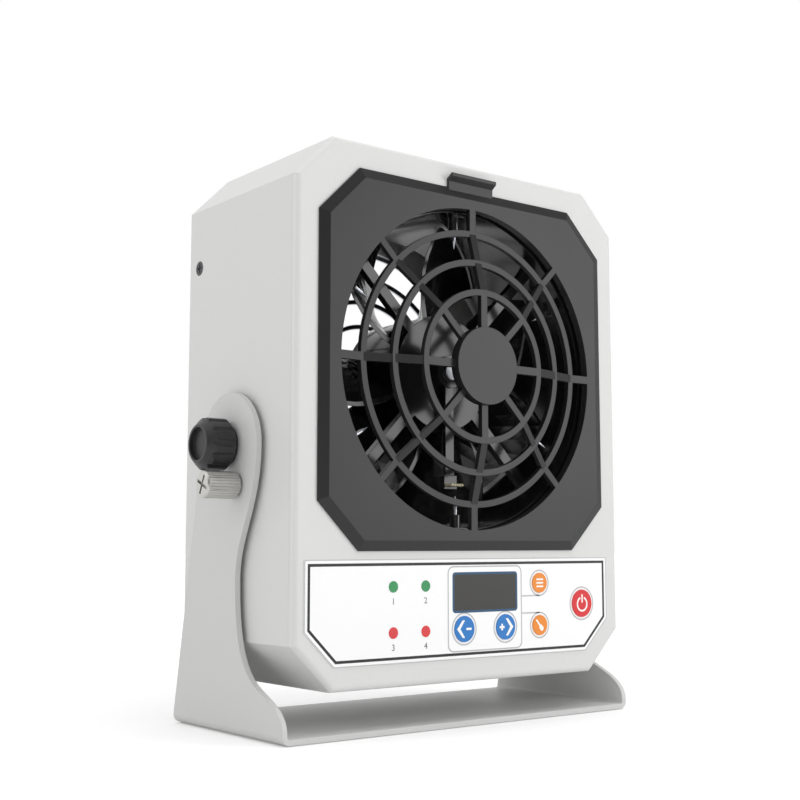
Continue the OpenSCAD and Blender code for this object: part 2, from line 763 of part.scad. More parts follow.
// Impeller: a cup round the motor with swept, twisted blades
y_cup = y_fan + strut_t + 1;
cup_h = fan_t - strut_t - 5;
blade_h = cup_h - 3;
blade_tip = throat_r - 1.1;
blade_twist = 44;
blade_steps = 6;
function blade_lean(r) = 16 * pow((r - hub_r) / (blade_tip - hub_r), 1.6);
function blade_edge(half) = [for (i = [0:blade_steps]) let (r = hub_r - 0.6 + (blade_tip - hub_r + 0.6) * i / blade_steps)
    let (a = blade_lean(max(r, hub_r)) + half * 57.3 * (1.1 - 0.35 * i / blade_steps) / r) [r * cos(a), r * sin(a)]];
module blade() {
    outer = blade_edge(1);
    linear_extrude(blade_h, twist = -blade_twist, slices = 7, segments = 1)
        polygon(concat(blade_edge(-1), [for (i = [blade_steps:-1:0]) outer[i]]));
}
module impeller() {
    color("#131416") union() {
        turn_y() polygon([[shaft_r, y_cup + cup_h - 8], [tube_r - 1, y_cup + cup_h - 8], [tube_r - 1, y_cup + cup_h - 2],
            [hub_r - 1.5, y_cup + cup_h - 2], [hub_r - 1.5, y_cup], [hub_r, y_cup], [hub_r, y_cup + cup_h - 2.5],
            [hub_r - 2.5, y_cup + cup_h], [shaft_r, y_cup + cup_h]]);
        for (i = [0:blades - 1]) translate([0, y_cup + 1, z_fan]) rotate([-90, 0, 0]) rotate([0, 0, 360 * i / blades])
            blade();
    }
}
module rotor_ring() {
    color("#7d7f82") difference() {
        rod_y(hub_r - 1.5, y_cup + 1, y_cup + 19, 0, z_fan);
        rod_y(17.6, y_cup, y_cup + 20, 0, z_fan);
    }
}
module fan_shaft() {
    color("silver") rod_y(shaft_r, y_fan + strut_t + 0.1, y_cup + cup_h - 0.5, 0, z_fan);
}

// ---------------------------------------------------------------- ionizer
emitter_out_r = 59.6;
emitter_in_r = 57.6;
module at_needles() {
    for (i = [0:needles - 1]) translate([0, y_needle, z_fan]) rotate([0, -360 * i / needles - 30, 0]) children();
}
module emitter_ring() {
    color("#1e1f21") difference() {
        union() {
            turn_y() ring_section(emitter_in_r, emitter_out_r, y_emit, y_fan);
            at_needles() translate([emitter_in_r - 0.5, -3, -3]) cube([2, 6, 6]);
        }
        at_needles() rotate([0, 90, 0]) translate([0, 0, 50]) cylinder(r = 2, h = 12);
    }
}
module needle_sockets() {
    color("#e8e6df") at_needles() difference() {
        rotate([0, 90, 0]) translate([0, 0, 52.5]) cylinder(r = 2, h = emitter_out_r - 52.5);
        rotate([0, 90, 0]) translate([0, 0, 50]) cylinder(r = needle_r, h = 9);
    }
}
module emitter_needles() {
    color("#c0c0c4") at_needles() rotate([0, 90, 0]) {
        translate([0, 0, needle_tip_r + 3]) cylinder(r = needle_r, h = 59 - needle_tip_r - 3);
        translate([0, 0, needle_tip_r]) cylinder(r1 = 0.08, r2 = needle_r, h = 3, $fn = 24);
    }
}

// Brush arm that sweeps round past the needle points
module brush_pin() {
    color("silver") union() {
        rod_y(brush_pin_r, y_fan - 4.4, y_fan + strut_t, 0, z_fan);
        rod_y(brush_pin_r + 1.2, y_fan - 5.4, y_fan - 4.4, 0, z_fan);
    }
}
module brush_arm() {
    y0 = y_fan - 4.2;
    y1 = y_fan - clear;
    color("#232427") difference() {
        union() {
            rod_y(6, y0, y1, 0, z_fan);
            translate([-2, y0 + 0.8, z_fan - brush_r + 4]) cube([4, 2, brush_r - 6]);
            translate([-3, y_needle + 2.4, z_fan - brush_r + 2]) cube([6, y_fan - clear - y_needle - 2.6, 5]);
        }
        rod_y(brush_pin_r + running, y0 - 1, y_fan, 0, z_fan);
    }
}
module brush_tuft() {
    color("#e3ddc8") for (i = [-2:2])
        rod_y(0.5, y_needle - 1.6, y_needle + 2.4, i * 1.15, z_fan - brush_r + 3.4);
}

// ----------------------------------------------------------------- grille
latch_w = 10;
latch_h = 1.4;
z_latch = z_fan + grille_h / 2 - 3;
function dome_y(r) = r >= outer_ring_r ? y_face
    : r <= inner_ring_r ? y_dome
    : y_face - dome_h * (outer_ring_r - r) / (outer_ring_r - inner_ring_r);

module grille_spoke(width) {
    end_r = opening_r + 0.6;
    stations = [[0, y_dome], [inner_ring_r, y_dome], [outer_ring_r, y_face], [end_r, y_face]];
    linear_extrude(width, center = true)
        polygon(concat(stations, [for (i = [3:-1:0]) stations[i] + [0, rib_t]]));
}
module grille_ring(r) {
    turn_y() ring_section(r - ring_w / 2, r + ring_w / 2, dome_y(r), dome_y(r) + rib_t);
}
module grille_hook(x) {
    tongue_z = z_hinge + 1.1;
    y_back = y_inner + 1.6;
    translate([x - hook_w / 2, y_front - rim_wall, tongue_z]) cube([hook_w, y_back - y_front + rim_wall, 2]);
    translate([x - hook_w / 2, y_inner + clear, tongue_z - 2.1]) cube([hook_w, 1.6 - clear, 3]);
}
// Finger tab: a neck on the case front that curls forward into a lip
module finger_tab() {
    z0 = z_fan + grille_h / 2 - 1;
    side_slab(-tab_w / 2, tab_w / 2)
        polygon([[y_front, z0], [y_front, z0 + 4.2], [y_front - 2.6, z0 + 5.9], [y_front - 3.2, z0 + 5.9],
            [y_front - 3.2, z0 + 4.7], [y_front - 1.1, z0 + 3.2], [y_front - 1.1, z0]]);
}
module grille_plate() {
    color("#2c2d30") union() {
        difference() {
            translate([0, y_front, z_fan]) edged_octagon(grille_w, grille_h, grille_cut,
                [[0, rim_wall], [grille_bevel, grille_proud]]);
            rod_y(opening_r, y_face - 1, y_front + 1, 0, z_fan);
        }
        turn_y() ring_section(opening_r, opening_r + lip_t, y_face + 0.2, y_front + lip_d);
        for (r = [outer_ring_r, middle_ring_r, inner_ring_r]) grille_ring(r);
        for (i = [0:7]) translate([0, 0, z_fan]) rotate([0, -45 * i, 0])
            grille_spoke(i % 2 == 0 ? spoke_w : slant_spoke_w);
        rod_y(disc_r, y_disc, y_dome + rib_t, 0, z_fan);
        for (x = [-hook_x, hook_x]) grille_hook(x);
        translate([-latch_w / 2, y_front - rim_wall, z_latch]) cube([latch_w, front_t + rim_wall + 0.9, latch_h]);
        finger_tab();
    }
}

stand_bracket();
lock_bush();
thumb_screw();
left_knob();
left_stud();
right_knob();
right_stud();
pivot_washers();
left_pivot_nut();
right_pivot_nut();
case_shell();
front_bezel();
rear_cover();
rear_guard();
side_screws();
guard_screws();
panel_overlay();
display_window();
display_module();
green_lamps();
red_lamps();
control_board();
board_posts();
key_switches();
minus_key();
plus_key();
menu_key();
brush_key();
power_key();
hv_supply();
supply_screws();
hv_lead();
power_jack();
jack_nut();
earth_stud();
fan_frame();
fan_stator();
fan_bearings();
fan_spacers();
fan_screws();
impeller();
rotor_ring();
fan_shaft();
emitter_ring();
needle_sockets();
emitter_needles();
brush_pin();
brush_arm();
brush_tuft();
grille_plate();
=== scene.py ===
"""Looks of a bench-top ionizing air blower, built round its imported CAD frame."""

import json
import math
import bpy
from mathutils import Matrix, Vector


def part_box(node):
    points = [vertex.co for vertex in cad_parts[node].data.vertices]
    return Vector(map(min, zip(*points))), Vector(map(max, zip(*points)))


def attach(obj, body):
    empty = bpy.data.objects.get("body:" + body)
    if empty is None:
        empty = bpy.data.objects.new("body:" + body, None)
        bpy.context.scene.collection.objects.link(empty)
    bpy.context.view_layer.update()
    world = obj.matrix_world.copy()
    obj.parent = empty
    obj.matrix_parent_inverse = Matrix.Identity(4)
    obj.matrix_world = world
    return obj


bl_info = {
    "name": "Ionizing Blower",
    "version": (1, 0, 0),
    "blender": (4, 5, 0),
    "location": "View3D > Sidebar > Blower",
    "description": "Finishes, panel print, lights and camera of a bench-top ionizing blower",
    "category": "Object",
}

import bmesh
import bpy
from bpy.props import FloatProperty, FloatVectorProperty, IntProperty, PointerProperty
from bpy.types import Operator, Panel, PropertyGroup
from mathutils import Vector

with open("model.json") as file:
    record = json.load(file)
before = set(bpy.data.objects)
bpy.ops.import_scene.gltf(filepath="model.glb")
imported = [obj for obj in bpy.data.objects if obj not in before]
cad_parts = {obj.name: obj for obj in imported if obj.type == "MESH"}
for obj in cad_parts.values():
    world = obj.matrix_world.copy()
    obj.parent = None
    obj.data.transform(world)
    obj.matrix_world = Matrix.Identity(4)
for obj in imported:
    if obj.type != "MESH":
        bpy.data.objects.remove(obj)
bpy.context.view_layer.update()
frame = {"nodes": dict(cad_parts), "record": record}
FACING_FRONT = (math.pi / 2, 0, 0)
MM = 0.001
KEY_FLANGE = 0.9 * MM
FLOOR_DROP = 0.2 * MM
SENSOR_WIDTH = 36
LAMPS = (
    # name, place, target, size, power
    ("front_light", (0.82, -0.98, 0.36), (0.0, -0.04, 0.115), 0.62, 4.3),
    ("top_light", (0.1, -0.25, 1.5), (0.0, 0.0, 0.1), 1.2, 7.5),
    ("side_light", (-1.4, 0.25, 0.75), (-0.07, 0.0, 0.1), 1.2, 4.0),
)


def shade(red, green, blue):
    """A colour as it looks on a screen, 0 to 255, turned into the linear values that shaders take."""
    return tuple(
        (v / 255 / 12.92) if v <= 10 else ((v / 255 + 0.055) / 1.055) ** 2.4 for v in (red, green, blue)
    )


# ------------------------------------------------------------------ settings
def length(name, description, default):
    return FloatProperty(
        name=name, description=description, default=default, min=0.0, unit="LENGTH", precision=5
    )


def colour(name, description, default):
    return FloatVectorProperty(
        name=name, description=description, default=default, size=3, min=0.0, max=1.0, subtype="COLOR"
    )


class BlowerPrint(PropertyGroup):
    film: length("Ink height", "How far the ink stands above the film or the key", 0.03 * MM)
    margin: length("Margin", "White edge between the film's rim and the black line", 1.3 * MM)
    border: length("Black line", "Width of the black line round the panel", 0.95 * MM)
    hairline: length("Hairline", "Width of the grey lines", 0.5 * MM)
    corner: length("Corner cut", "Leg of the cut at the film's lower corners", 11.7 * MM)
    group_round: length("Group corner", "Corner radius of the frame round the display", 2.6 * MM)
    group_side: length("Group side", "Space between display and frame at the sides", 2.6 * MM)
    group_low: length("Group foot", "Space between display and frame below", 13.9 * MM)
    bezel: length("Display edge", "Width of the blue edge of the display", 0.8 * MM)
    bezel_round: length("Display corner", "Corner radius of the display's edge", 1.3 * MM)
    ring_gap: length("Ring gap", "White space between a key and its ring", 0.75 * MM)
    numeral: length("Numeral size", "Height of the numerals under the lamps", 3.0 * MM)
    numeral_drop: length("Numeral drop", "Distance of a numeral's foot below its lamp's centre", 5.9 * MM)


class BlowerColours(PropertyGroup):
    case: colour("Case", "Powder coat of the case", shade(214, 214, 213))
    front: colour("Front", "Powder coat of the front plate", shade(219, 219, 218))
    stand: colour("Stand", "Powder coat of the stand", shade(205, 205, 204))
    black: colour("Grille", "Black moulding of the grille", shade(34, 34, 35))
    knob: colour("Knob", "Black moulding of the knobs", shade(40, 40, 42))
    film: colour("Film", "White of the panel film", shade(250, 250, 250))
    ink: colour("Black ink", "Black line round the panel", shade(28, 28, 30))
    grey_ink: colour("Grey ink", "Grey lines and rings", shade(188, 188, 190))
    text_ink: colour("Numerals", "Numerals under the lamps", shade(70, 70, 74))
    blue: colour("Blue keys", "The minus key and the plus key", shade(10, 118, 196))
    deep_blue: colour("Display edge", "Edge of the display", shade(22, 78, 116))
    orange: colour("Orange keys", "The menu key and the brush key", shade(238, 138, 30))
    red: colour("Red key", "The power key and the red lamps", shade(218, 24, 36))
    green: colour("Green lamps", "The green lamps", shade(14, 142, 74))
    symbol: colour("Symbols", "Symbols on the keys", shade(250, 250, 246))


class BlowerStage(PropertyGroup):
    lens: FloatProperty(name="Lens", description="Focal length in millimetres", default=57.73, min=1.0)
    yaw: FloatProperty(
        name="Yaw", description="Turn of the camera towards the right", default=math.radians(37.67), subtype="ANGLE"
    )
    pitch: FloatProperty(
        name="Pitch", description="Tilt of the camera upwards", default=math.radians(6.37), subtype="ANGLE"
    )
    eye: FloatVectorProperty(
        name="Camera", description="Place of the camera", default=(-0.30062, -0.38399, 0.06354),
        subtype="TRANSLATION", precision=5
    )
    ambient: FloatProperty(
        name="Ambient", description="Level of the light from all round", default=0.7, min=0.0
    )
    floor_span: length("Floor", "Width of the floor", 12.0)
    segments: IntProperty(name="Round steps", description="Points round a ring", default=96, min=24)


# --------------------------------------------------------------- node groups
def group_tree(name, inputs, outputs):
    """A shader node group with its sockets: {name: (type, default)}. Returns the tree and its two end nodes."""
    tree = bpy.data.node_groups.new(name, "ShaderNodeTree")
    for direction, sockets in (("INPUT", inputs), ("OUTPUT", outputs)):
        for socket, (kind, default) in sockets.items():
            item = tree.interface.new_socket(name=socket, in_out=direction, socket_type="NodeSocket" + kind)
            if default is not None:
                item.default_value = default
    return tree, tree.nodes.new("NodeGroupInput"), tree.nodes.new("NodeGroupOutput")


def maths(tree, operation, a, b):
    node = tree.nodes.new("ShaderNodeMath")
    node.operation = operation
    for socket, value in zip(node.inputs, (a, b)):
        if isinstance(value, (int, float)):
            socket.default_value = value
        else:
            tree.links.new(value, socket)
    return node.outputs[0]


def noise(tree, vector, scale, detail):
    node = tree.nodes.new("ShaderNodeTexNoise")
    node.inputs["Detail"].default_value = detail
    tree.links.new(vector, node.inputs["Vector"])
    if isinstance(scale, (int, float)):
        node.inputs["Scale"].default_value = scale
    else:
        tree.links.new(scale, node.inputs["Scale"])
    return node.outputs["Fac"]


def make_grain_group():
    """Fine grain with broad cloudiness: colour, roughness and relief of a coated or moulded surface."""
    tree, inside, outside = group_tree(
        "Surface grain",
        {
            "Vector": ("Vector", None),
            "Color": ("Color", (0.5, 0.5, 0.5, 1)),
            "Grain scale": ("Float", 900.0),
            "Cloud scale": ("Float", 14.0),
            "Grain tone": ("Float", 0.06),
            "Cloud tone": ("Float", 0.04),
            "Roughness": ("Float", 0.4),
            "Roughness spread": ("Float", 0.1),
        },
        {"Color": ("Color", None), "Roughness": ("Float", None), "Height": ("Float", None)},
    )
    grain = noise(tree, inside.outputs["Vector"], inside.outputs["Grain scale"], 3.0)
    cloud = noise(tree, inside.outputs["Vector"], inside.outputs["Cloud scale"], 2.0)
    fine = maths(tree, "MULTIPLY", maths(tree, "SUBTRACT", grain, 0.5), inside.outputs["Grain tone"])
    broad = maths(tree, "MULTIPLY", maths(tree, "SUBTRACT", cloud, 0.5), inside.outputs["Cloud tone"])
    tone = maths(tree, "ADD", maths(tree, "ADD", fine, broad), 1.0)
    scale = tree.nodes.new("ShaderNodeVectorMath")
    scale.operation = "SCALE"
    tree.links.new(inside.outputs["Color"], scale.inputs[0])
    tree.links.new(tone, scale.inputs["Scale"])
    tree.links.new(scale.outputs["Vector"], outside.inputs["Color"])
    spread = maths(tree, "MULTIPLY", maths(tree, "SUBTRACT", cloud, 0.5), inside.outputs["Roughness spread"])
    tree.links.new(maths(tree, "ADD", spread, inside.outputs["Roughness"]), outside.inputs["Roughness"])
    tree.links.new(grain, outside.inputs["Height"])
    return tree


def make_edge_group():
    """Softened edges: the normal of a small rounding, and a mask that is 1 along the edges, which a finish uses to
    paint a highlight there.
    """
    tree, inside, outside = group_tree(
        "Soft edges", {"Radius": ("Float", 0.0004)}, {"Normal": ("Vector", None), "Edge": ("Float", None)}
    )
    bevel = tree.nodes.new("ShaderNodeBevel")
    bevel.samples = 6
    tree.links.new(inside.outputs["Radius"], bevel.inputs["Radius"])
    geometry = tree.nodes.new("ShaderNodeNewGeometry")
    dot = tree.nodes.new("ShaderNodeVectorMath")
    dot.operation = "DOT_PRODUCT"
    tree.links.new(bevel.outputs["Normal"], dot.inputs[0])
    tree.links.new(geometry.outputs["Normal"], dot.inputs[1])
    turned = maths(tree, "MULTIPLY", maths(tree, "SUBTRACT", 1.0, dot.outputs["Value"]), 5.0)
    tree.links.new(maths(tree, "MINIMUM", turned, 1.0), outside.inputs["Edge"])
    tree.links.new(bevel.outputs["Normal"], outside.inputs["Normal"])
    return tree


GROUPS = {}


def placed_group(tree, name):
    """Places a shared node group in a material's tree."""
    if name not in GROUPS:
        GROUPS[name] = {"grain": make_grain_group, "edge": make_edge_group}[name]()
    node = tree.nodes.new("ShaderNodeGroup")
    node.node_tree = GROUPS[name]
    return node


# ----------------------------------------------------------------- materials
def surface(name, tint, roughness, grain=900, grain_tone=0.06, cloud=14, cloud_tone=0.04, spread=0.08,
            relief=0.06, edge=0.3, edge_highlight_tint=None, stretch=(1, 1, 1), **sockets):
    """A finish with grain in its colour, roughness and relief, and softened edges, with a painted highlight along
    the edges when an edge tint is given.
    edge is the rounding in millimetres, relief the height of the grain in hundredths of a millimetre."""
    material = bpy.data.materials.new(name)
    material.use_nodes = True
    tree = material.node_tree
    shader = tree.nodes["Principled BSDF"]
    place = tree.nodes.new("ShaderNodeTexCoord")
    mapping = tree.nodes.new("ShaderNodeMapping")
    mapping.inputs["Scale"].default_value = stretch
    tree.links.new(place.outputs["Object"], mapping.inputs["Vector"])
    texture = placed_group(tree, "grain")
    tree.links.new(mapping.outputs["Vector"], texture.inputs["Vector"])
    for socket, value in (
        ("Color", (*tint, 1)),
        ("Grain scale", grain),
        ("Cloud scale", cloud),
        ("Grain tone", grain_tone),
        ("Cloud tone", cloud_tone),
        ("Roughness", roughness),
        ("Roughness spread", spread),
    ):
        texture.inputs[socket].default_value = value
    edges = placed_group(tree, "edge")
    edges.inputs["Radius"].default_value = edge * MM
    bump = tree.nodes.new("ShaderNodeBump")
    bump.inputs["Strength"].default_value = 1.0
    bump.inputs["Distance"].default_value = relief * 0.01 * MM
    tree.links.new(texture.outputs["Height"], bump.inputs["Height"])
    tree.links.new(edges.outputs["Normal"], bump.inputs["Normal"])
    tree.links.new(bump.outputs["Normal"], shader.inputs["Normal"])
    base = texture.outputs["Color"]
    # Painted highlight: along the edges the colour is mixed towards the edge tint, standing in for the light that
    # rounded edges catch.
    if edge_highlight_tint:
        mix = tree.nodes.new("ShaderNodeMix")
        mix.data_type = "RGBA"
        mix.inputs[7].default_value = (*edge_highlight_tint, 1)
        tree.links.new(edges.outputs["Edge"], mix.inputs[0])
        tree.links.new(base, mix.inputs[6])
        base = mix.outputs[2]
    tree.links.new(base, shader.inputs["Base Color"])
    tree.links.new(texture.outputs["Roughness"], shader.inputs["Roughness"])
    for socket, value in sockets.items():
        shader.inputs[socket.replace("_", " ").title() if socket != "ior" else "IOR"].default_value = value
    return material


def powder_coat(name, tint):
    """Fine semi-matt powder coat on folded sheet steel, with a highlight painted along its edges."""
    # The painted edge highlight: the coat made 6 % lighter along its edges.
    highlight_tint = tuple(min(1.0, v * 1.06) for v in tint)
    return surface(name, tint, 0.48, grain=700, grain_tone=0.03, cloud=9, cloud_tone=0.03, relief=0.8, edge=0.5,
                   edge_highlight_tint=highlight_tint)


def moulded_black(name, tint, roughness=0.42, relief=0.5):
    """Satin black moulding with a fine spark-eroded texture, and a highlight painted along its edges."""
    # The edges get a painted highlight, 1.6 times the moulding's colour.
    return surface(name, tint, roughness, grain=1400, grain_tone=0.25, cloud_tone=0.1, relief=relief, edge=0.25,
                   edge_highlight_tint=tuple(v * 1.6 for v in tint))


def polished_black(name, tint):
    """Glossy black moulding with faint flow marks."""
    return surface(name, tint, 0.14, grain=260, grain_tone=0.1, cloud=30, cloud_tone=0.15, spread=0.1, relief=0.15,
                   edge=0.3)


def plated_metal(name, tint, roughness=0.28, stretch=(1, 1, 1), relief=0.4):
    """Plated steel with fine tool marks."""
    return surface(name, tint, roughness, grain=1500, grain_tone=0.2, cloud=60, cloud_tone=0.12, spread=0.16,
                   relief=relief, edge=0.15, stretch=stretch, metallic=1.0)


def printed_ink(name, tint):
    """Satin screen-printing ink."""
    return surface(name, tint, 0.4, grain=2500, grain_tone=0.05, cloud=40, cloud_tone=0.03, relief=0.1, edge=0.01)


def clear_lens(name, tint):
    """Tinted lens of a lamp, with a clear coat."""
    return surface(name, tint, 0.25, grain=500, grain_tone=0.1, cloud=300, cloud_tone=0.3, relief=0.2, edge=0.3,
                   coat_weight=0.6)


def make_materials():
    c = bpy.context.scene.blower_colours
    return {
        "stand_paint": powder_coat("Stand powder coat", c.stand),
        "case_paint": powder_coat("Case powder coat", c.case),
        "front_paint": powder_coat("Front powder coat", c.front),
        "zinc": plated_metal("Zinc plate", shade(188, 190, 194)),
        "nickel": plated_metal("Nickel plate", shade(206, 205, 201), 0.34),
        "knob_black": moulded_black("Knob moulding", c.knob),
        "rubber_black": surface("Washer rubber", shade(34, 34, 35), 0.8, grain=600, grain_tone=0.3, relief=2.0),
        "guard_wire": plated_metal("Bright wire", shade(214, 216, 220), 0.14),
        "black_screw": plated_metal("Blackened steel", shade(86, 86, 88), 0.38),
        "overlay_white": surface("Panel film", c.film, 0.36, grain=3000, grain_tone=0.015, cloud_tone=0.01,
                                 relief=0.15, edge=0.05),
        "display_dark": surface("Display window", shade(48, 47, 45), 0.4, grain=1200, grain_tone=0.08, cloud=40,
                                cloud_tone=0.12, relief=0.02, edge=0.05),
        "moulded_black": moulded_black("Inner moulding", shade(30, 30, 32), 0.5),
        "lamp_green": clear_lens("Green lens", c.green),
        "lamp_red": clear_lens("Red lens", c.red),
        "board_green": surface("Solder mask", shade(20, 92, 52), 0.35, grain=500, grain_tone=0.3, cloud=90,
                               cloud_tone=0.2),
        "brass": plated_metal("Turned brass", shade(206, 172, 98), 0.3),
        "key_blue": printed_ink("Blue key", c.blue),
        "key_orange": printed_ink("Orange key", c.orange),
        "key_red": printed_ink("Red key", c.red),
        "lead_red": surface("Silicone sleeve", shade(170, 30, 34), 0.55, grain=800, relief=1.0),
        "fan_black": polished_black("Fan moulding", shade(24, 24, 25)),
        "fan_gloss": polished_black("Impeller moulding", shade(20, 20, 21)),
        "winding": surface("Enamelled copper", shade(184, 104, 54), 0.3, grain=3000, grain_tone=0.5, relief=8,
                           stretch=(1, 8, 1), metallic=1.0),
        "ceramic": surface("Glazed ceramic", shade(40, 39, 38), 0.2, grain=300, cloud=100, relief=0.3,
                           coat_weight=0.5),
        "needle_steel": plated_metal("Needle steel", shade(196, 198, 204), 0.2),
        "bristle": surface("Nylon bristle", shade(216, 206, 176), 0.6, grain=2500, grain_tone=0.4,
                           stretch=(1, 0.2, 1)),
        "grille_black": moulded_black("Grille moulding", c.black, 0.4),
        "black_ink": printed_ink("Black ink", c.ink),
        "grey_ink": printed_ink("Grey ink", c.grey_ink),
        "numeral_ink": printed_ink("Numeral ink", c.text_ink),
        "deep_blue": printed_ink("Display edge ink", c.deep_blue),
        "symbol_white": printed_ink("Symbol ink", c.symbol),
    }


MATERIALS = {}


def finish_of(key):
    if not MATERIALS:
        MATERIALS.update(make_materials())
    return MATERIALS[key]


def dress(*nodes):
    """Gives each CAD node the finish that its material slot names."""
    slots = {part["node"]: part["material_slot"] for part in frame["record"]["subparts"]}
    for node in nodes:
        obj = frame["nodes"][node]
        if not obj.material_slots:
            obj.data.materials.append(None)
        for place in obj.material_slots:
            place.material = finish_of(slots[node])


# ---------------------------------------------------------- modelling helpers
def deselect():
    bpy.ops.object.select_all(action="DESELECT")


def plate(name, x, y, z, width, height):
    """A flat plate that faces the front."""
    deselect()
    bpy.ops.mesh.primitive_plane_add(size=1, location=(x, y, z), rotation=FACING_FRONT)
    piece = bpy.context.object
    piece.name = name
    piece.scale = (width, height, 1)
    bpy.ops.object.transform_apply()
    return piece


def disc(name, x, y, z, radius):
    """A flat disc that faces the front."""
    deselect()
    segments = bpy.context.scene.blower_stage.segments
    bpy.ops.mesh.primitive_circle_add(
        vertices=segments, radius=radius, fill_type="NGON", location=(x, y, z), rotation=FACING_FRONT
    )
    piece = bpy.context.object
    piece.name = name
    bpy.ops.object.transform_apply()
    return piece


def select_where(piece, kind, test):
    """In edit mode, selects only the points or faces of the piece that pass the test of their place."""
    bpy.ops.mesh.select_mode(type="VERT" if kind == "verts" else "FACE")
    bpy.ops.mesh.select_all(action="DESELECT")
    mesh = bmesh.from_edit_mesh(piece.data)
    for part in getattr(mesh, kind):
        place = part.co if kind == "verts" else part.calc_center_median()
        if test(place):
            part.select_set(True)
    mesh.select_flush_mode()
    bmesh.update_edit_mesh(piece.data)


def cut_corners(piece, leg, steps, test=lambda place: True):
    """Cuts or rounds the corners that pass the test."""
    bpy.ops.object.mode_set(mode="EDIT")
    select_where(piece, "verts", test)
    bpy.ops.mesh.bevel(offset=leg, segments=steps, affect="VERTICES")
    bpy.ops.object.mode_set(mode="OBJECT")


def outline(piece, gap, line):
    """Turns a flat piece into a line that runs round it, gap inside its rim."""
    bpy.ops.object.mode_set(mode="EDIT")
    bpy.ops.mesh.select_mode(type="FACE")
    bpy.ops.mesh.select_all(action="SELECT")
    if gap:
        bpy.ops.mesh.inset(thickness=gap)
        bpy.ops.mesh.select_all(action="INVERT")
        bpy.ops.mesh.delete(type="FACE")
        bpy.ops.mesh.select_all(action="SELECT")
    bpy.ops.mesh.inset(thickness=line)
    bpy.ops.mesh.delete(type="FACE")
    bpy.ops.object.mode_set(mode="OBJECT")


def thicken(piece, height):
    """Raises a flat piece towards the front by height."""
    deselect()
    piece.select_set(True)
    bpy.context.view_layer.objects.active = piece
    bpy.ops.object.modifier_add(type="SOLIDIFY")
    modifier = piece.modifiers[-1]
    modifier.thickness = height
    modifier.offset = 1
    bpy.ops.object.modifier_apply(modifier=modifier.name)


def join(name, pieces):
    deselect()
    for piece in pieces:
        piece.select_set(True)
    bpy.context.view_layer.objects.active = pieces[0]
    if len(pieces) > 1:
        bpy.ops.object.join()
    pieces[0].name = name
    return pieces[0]


def finish_piece(piece, finish, body):
    piece.data.materials.clear()
    piece.data.materials.append(finish_of(finish))
    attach(piece, body)


def print_on(name, pieces, finish, body="head"):
    """Raises flat pieces as ink, joins them and lets them ride."""
    for piece in pieces:
        thicken(piece, bpy.context.scene.blower_print.film)
    finish_piece(join(name, pieces), finish, body)


KEYS = ("minus_key", "plus_key", "menu_key", "brush_key", "power_key")


def key_face(key):
    """The middle of a key's front face, and the radius of that face without the flange behind it."""
    low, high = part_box(key)
    centre = (low + high) / 2
    return Vector((centre.x, low.y, centre.z)), (high.x - low.x) / 2 - KEY_FLANGE


# ----------------------------------------------------------------- operators
class BLOWER_OT_stand(Operator):
    """Coats the bent steel stand and finishes the pieces that clamp the head in it"""

    bl_idname = "blower.stand"
    bl_label = "Stand and clamps"

    def execute(self, context):
        dress("stand_bracket", "lock_bush", "thumb_screw", "left_knob", "left_stud", "right_knob", "right_stud",
              "pivot_washers", "left_pivot_nut", "right_pivot_nut")
        return {"FINISHED"}


class BLOWER_OT_case(Operator):
    """Coats the case, its front plate and its rear cover, and finishes their screws and the wire guard"""

    bl_idname = "blower.case"
    bl_label = "Case"

    def execute(self, context):
        dress("case_shell", "front_bezel", "rear_cover", "rear_guard", "side_screws", "guard_screws",
              "power_jack", "jack_nut", "earth_stud")
        return {"FINISHED"}


class BLOWER_OT_grille(Operator):
    """Finishes the domed grille"""

    bl_idname = "blower.grille"
    bl_label = "Grille"

    def execute(self, context):
        dress("grille_plate")
        return {"FINISHED"}


class BLOWER_OT_fan(Operator):
    """Finishes the fan, its motor and the ionizer in front of it"""

    bl_idname = "blower.fan"
    bl_label = "Fan and ionizer"

    def execute(self, context):
        dress("fan_frame", "fan_stator", "fan_bearings", "fan_spacers", "fan_screws", "impeller", "rotor_ring",
              "fan_shaft", "emitter_ring", "needle_sockets", "emitter_needles", "brush_pin", "brush_arm",
              "brush_tuft")
        return {"FINISHED"}


class BLOWER_OT_electronics(Operator):
    """Finishes the board, the switches and the high-voltage supply inside the case"""

    bl_idname = "blower.electronics"
    bl_label = "Electronics"

    def execute(self, context):
        dress("control_board", "board_posts", "key_switches", "display_module", "hv_supply", "supply_screws",
              "hv_lead")
        return {"FINISHED"}


class BLOWER_OT_film(Operator):
    """Finishes the panel film, the display and the lamps, and prints the lines round them"""

    bl_idname = "blower.film"
    bl_label = "Panel film"

    def execute(self, context):
        dress("panel_overlay", "display_window", "green_lamps", "red_lamps")
        ink = context.scene.blower_print
        low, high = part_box("panel_overlay")
        centre = (low + high) / 2
        width, height = high.x - low.x, high.z - low.z
        for name, gap, line, finish in (
            ("rim_line", 0.0, 0.35 * MM, "grey_ink"), ("border_line", ink.margin, ink.border, "black_ink")
        ):
            piece = plate(name, centre.x, low.y, centre.z, width, height)
            cut_corners(piece, ink.corner, 1, lambda place: place.z < centre.z)
            outline(piece, gap, line)
            print_on(name, [piece], finish)
        window_low, window_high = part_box("display_window")
        window = (window_low + window_high) / 2
        window_w, window_h = window_high.x - window_low.x, window_high.z - window_low.z
        edge = plate("display_edge", window.x, low.y, window.z, window_w + ink.bezel, window_h + ink.bezel)
        cut_corners(edge, ink.bezel_round, 8)
        outline(edge, 0.0, ink.bezel)
        print_on("display_edge", [edge], "deep_blue")
        group_low = window_low.z - ink.group_low
        group_high = window_high.z + ink.group_side
        group = plate("display_frame", window.x, low.y, (group_low + group_high) / 2,
                      window_w + 2 * ink.group_side, group_high - group_low)
        cut_corners(group, ink.group_round, 8)
        outline(group, 0.0, ink.hairline)
        print_on("display_frame", [group], "grey_ink")
        return {"FINISHED"}


